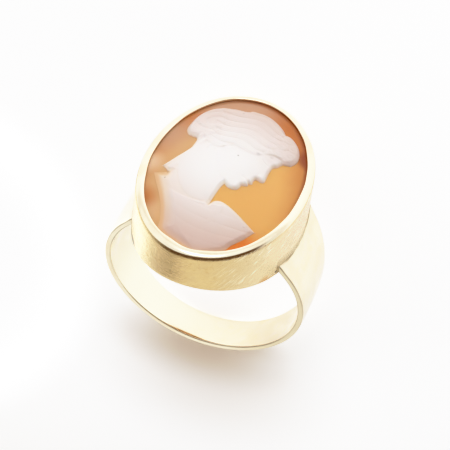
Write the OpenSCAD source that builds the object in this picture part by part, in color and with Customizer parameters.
// Cameo ring: a gold shank and bezel, soldered to one body, and an oval shell cameo held under a burnished lip.
// The ring is drawn as it is worn (finger along Y, stone up), then laid down on its side, as it lies on a table.

/* [Finger] */
// Radius of the finger hole
finger_r = 8.25; // [7:0.05:11]
// How far the bezel's base comes down below the top of the finger circle
arch_drop = 1.35; // [0.6:0.05:2]
// Angle from the top at which the finger circle gives way to the flatter arch under the bezel
arch_angle = 49; // [42:1:54]

/* [Shank] */
// Thickness of the band
band_t = 0.6; // [0.5:0.05:1.2]
// Width of the band at its back
back_w = 3.1; // [2:0.1:5]
// Width of the band at its shoulders, where it meets the bezel
shoulder_w = 8.7; // [5:0.1:10]
// Power by which the band widens from its back to its shoulders
widen_power = 1.3; // [1:0.05:2]

/* [Stone] */
// Length of the oval stone, along the finger
stone_l = 18.6; // [15:0.1:24]
// Width of the oval stone, across the finger
stone_w = 12.8; // [11:0.1:14]
// Radius of the oval's rounded ends
end_r = 4.9; // [4:0.1:5.2]
// Thickness of the stone at its edge
edge_t = 1.5; // [1:0.1:2.5]
// Rise of the stone's dome from its edge to its middle
dome_h = 0.9; // [0.5:0.1:2]

/* [Cameo figure] */
// Height of the bust's drapery above the ground
drape_h = 0.35; // [0.2:0.05:0.8]
// Height of the face and neck above the ground
face_h = 0.45; // [0.2:0.05:0.8]
// Height of the hair above the ground
hair_h = 0.6; // [0.3:0.05:0.9]
// Length of the figure from the bust's edge to the top of the hair
figure_l = 16.2; // [12:0.1:18]
// How far the head is bowed forward
head_bow = 28; // [0:1:40]

/* [Bezel] */
// Thickness of the bezel's wall
wall_t = 0.5; // [0.4:0.05:1]
// How far the lip reaches over the stone's edge
lip_over = 0.2; // [0.1:0.05:0.5]
// Thickness of the lip at its inner edge
lip_t = 0.2; // [0.1:0.05:0.4]
// Radius of the rounded shoulder between wall and lip
round_r = 0.45; // [0.2:0.05:0.5]
// Depth of the open back, from the top of the arch to the stone's seat
back_h = 1.8; // [1:0.1:4]
// Width of the seat that the stone rests on
seat_w = 0.65; // [0.4:0.05:1.2]

/* [Hidden] */
fit_gap = 0.03;
round_steps = 5;
oval_steps = 64;
dome_rings = 6;
reach = 60;
gold = [0.90, 0.76, 0.48];
shell_orange = [0.89, 0.67, 0.43];
shell_white = [0.94, 0.92, 0.90];

// Finger hole and arch
outer_r = finger_r + band_t;
arch_top = finger_r - arch_drop;
arch_x = finger_r * sin(arch_angle);
arch_sag = arch_top - finger_r * cos(arch_angle);
arch_r = (arch_x * arch_x + arch_sag * arch_sag) / (2 * arch_sag);

// The oval is drawn with two end circles and two side circles, and its offsets share their centres
half_l = stone_l / 2;
half_w = stone_w / 2;
end_c = half_l - end_r;
side_r = (end_c * end_c + half_w * half_w - end_r * end_r) / (2 * (half_w - end_r));
side_c = side_r - half_w;
side_angle = atan2(end_c, side_c);

// Heights of the stone and of the lip over its edge
seat_z = arch_top + back_h;
stone_z = seat_z + fit_gap;
edge_z = stone_z + edge_t;
lip_share = 1 - lip_over / half_w;
lip_z = edge_z + dome_h * (1 - lip_share * lip_share) + fit_gap;
rim_z = lip_z + lip_t;
wall_out = fit_gap + wall_t;
round_end = 65;
straight_z = rim_z - round_r - lip_t / 4;

// The bezel's section above its base, anticlockwise: distance outward from the stone's edge, and height
BEZEL_SECTION = concat(
    [for (i = [0:round_steps])
        let (t = round_end * i / round_steps)
        [wall_out - round_r + round_r * cos(t), straight_z + round_r * sin(t)]],
    [[-lip_over, rim_z], [-lip_over, lip_z], [fit_gap, lip_z], [fit_gap, seat_z], [-seat_w, seat_z]]
);

// Lying on its side, the ring touches with its bezel's base and its band's back edge
touch_l = half_l + wall_out;
lean = atan2(touch_l - back_w / 2, outer_r + arch_top);
lift = cos(lean) * touch_l - sin(lean) * arch_top;
far_rim = max([for (p = BEZEL_SECTION) sin(lean) * (half_l + p.x) + cos(lean) * p.y]);
far_band = sin(lean) * back_w / 2 + cos(lean) * outer_r;
slide = (far_rim - far_band) / 2;

// Cameo figure: rounded masses, each with its centre and radius as shares of the figure's length, in the head's
// or the body's own directions; the head's are turned forward about the top of the neck
HAIR_MASSES = [
    // across, up, radius
    [-0.010, 0.130, 0.215],
    [-0.190, 0.075, 0.090],
    [0.165, 0.165, 0.090],
    [-0.110, 0.170, 0.150],
    [0.085, 0.180, 0.150],
];
FACE_MASSES = [
    [0.075, 0.050, 0.115],
    [0.060, -0.040, 0.095],
    [0.085, -0.105, 0.045],
];
head_x = -0.055;
head_y = 0.135;
FIGURE_MIDDLE = [0, -0.75];

function circle_point(c, r, t) = [c.x + r * cos(t), c.y + r * sin(t)];

// Points of the oval, moved outward by off, anticlockwise from the right-hand side
function oval_points(off) =
    [for (i = [0:oval_steps - 1])
        let (q = floor(4 * i / oval_steps), u = 4 * i / oval_steps - q, s = side_angle, e = 90 - side_angle)
        let (quarter = q % 2 == 0 ? u * 90 : 90 - u * 90)
        let (on_side = quarter < s)
        let (p = on_side ? circle_point([-side_c, 0], side_r + off, quarter)
                         : circle_point([0, end_c], end_r + off, quarter))
        [q == 1 || q == 2 ? -p.x : p.x, q >= 2 ? -p.y : p.y]];

module oval_prism(off, low, high) {
    translate([0, 0, low]) linear_extrude(high - low) polygon(oval_points(off));
}

// Height of the arch over the finger, above the middle of the finger hole
function arch_z(x) = arch_top - arch_r + sqrt(arch_r * arch_r - x * x);

// Wall, seat and lip of the bezel in one solid, its base hollowed over the finger
module bezel() {
    n = oval_steps;
    base = [for (off = [-seat_w, wall_out]) for (p = oval_points(off)) [p.x, p.y, arch_z(p.x)]];
    above = [for (q = BEZEL_SECTION) for (p = oval_points(q.x)) [p.x, p.y, q.y]];
    loops = len(BEZEL_SECTION) + 2;
    polyhedron(concat(base, above), [for (k = [0:loops - 1]) for (i = [0:n - 1])
        let (m = (k + 1) % loops, j = (i + 1) % n)
        each [[k * n + i, m * n + i, m * n + j], [k * n + i, m * n + j, k * n + j]]]);
}

// Outline of the band seen from the side, widening from the back to the shoulders
module band_outline(steps = 16) {
    rise = outer_r + arch_top;
    half = [for (i = [0:steps])
        [back_w / 2 + (shoulder_w - back_w) / 2 * pow(i / steps, widen_power), -outer_r + rise * i / steps]];
    top = [[shoulder_w / 2, outer_r], [-shoulder_w / 2, outer_r]];
    polygon(concat([for (p = half) p], top, [for (i = [steps:-1:0]) [-half[i].x, half[i].y]]));
}

// The band is a round tube, cut to its outline and open where the bezel stands in it
module shank() {
    difference() {
        intersection() {
            rotate([90, 0, 0]) cylinder(r = outer_r, h = reach, center = true, $fn = 180);
            rotate([90, 0, 90]) linear_extrude(reach, center = true) band_outline();
        }
        rotate([90, 0, 0]) cylinder(r = finger_r, h = reach + 1, center = true, $fn = 180);
        oval_prism(-seat_w / 2, 0, reach);
    }
}

// A solid under the stone's dome, raised by rise, from the height low up
module dome(rise, low) {
    edge = oval_points(0);
    n = oval_steps;
    rings = [for (k = [0:dome_rings - 1])
        let (s = 1 - k / dome_rings)
        for (p = edge) [p.x * s, p.y * s, edge_z + rise + dome_h * (1 - s * s)]];
    base = [for (p = edge) [p.x, p.y, low]];
    points = concat(base, rings, [[0, 0, edge_z + rise + dome_h]]);
    bands = [for (k = [0:dome_rings - 1]) for (i = [0:n - 1])
        let (j = (i + 1) % n)
        each [[k * n + i, (k + 1) * n + i, (k + 1) * n + j], [k * n + i, (k + 1) * n + j, k * n + j]]];
    cap = [for (i = [0:n - 1]) [dome_rings * n + i, (dome_rings + 1) * n, dome_rings * n + (i + 1) % n]];
    polyhedron(points, concat([[for (i = [0:n - 1]) i]], bands, cap));
}

// What is inside the children's outline and between the ground's dome and a dome raised by rise
module relief(rise) {
    intersection() {
        difference() {
            dome(rise, stone_z);
            dome(fit_gap, stone_z - 1);
        }
        oval_prism(-lip_over - 2 * fit_gap, stone_z, reach);
        translate([FIGURE_MIDDLE.x, FIGURE_MIDDLE.y, stone_z]) linear_extrude(reach) children();
    }
}

// Rounded masses of a table, placed in the head's own directions
module head_masses(table) {
    translate([head_x, head_y] * figure_l) rotate(-head_bow)
        for (m = table) translate([m.x, m.y] * figure_l) circle(r = m[2] * figure_l, $fn = 48);
}

module neck_outline() {
    polygon([[-0.225, 0.23], [-0.235, 0.08], [-0.29, -0.04], [-0.24, -0.20], [-0.02, -0.20], [-0.01, -0.05],
             [0.06, 0.08]] * figure_l);
}

module bust_outline() {
    polygon([[-0.32, -0.10], [-0.24, -0.04], [-0.02, -0.17], [0.05, -0.165], [0.16, -0.215], [0.245, -0.305],
             [0.20, -0.41], [0.12, -0.50], [-0.15, -0.50], [-0.21, -0.38], [-0.27, -0.26]] * figure_l);
}

module cameo_figure() {
    color(shell_white) {
        relief(hair_h) head_masses(HAIR_MASSES);
        relief(face_h) {
            head_masses(FACE_MASSES);
            neck_outline();
        }
        relief(drape_h) bust_outline();
    }
}

module cameo_ground() {
    color(shell_orange) dome(0, stone_z);
}

module gold_mount() {
    color(gold) {
        bezel();
        shank();
    }
}

// Lays the worn ring on its side, with the middle of its box above the origin
module lying() {
    translate([0, slide, lift]) rotate([0, 0, 180]) rotate([lean - 90, 0, 0]) children();
}

lying() gold_mount();
lying() cameo_ground();
lying() cameo_figure();
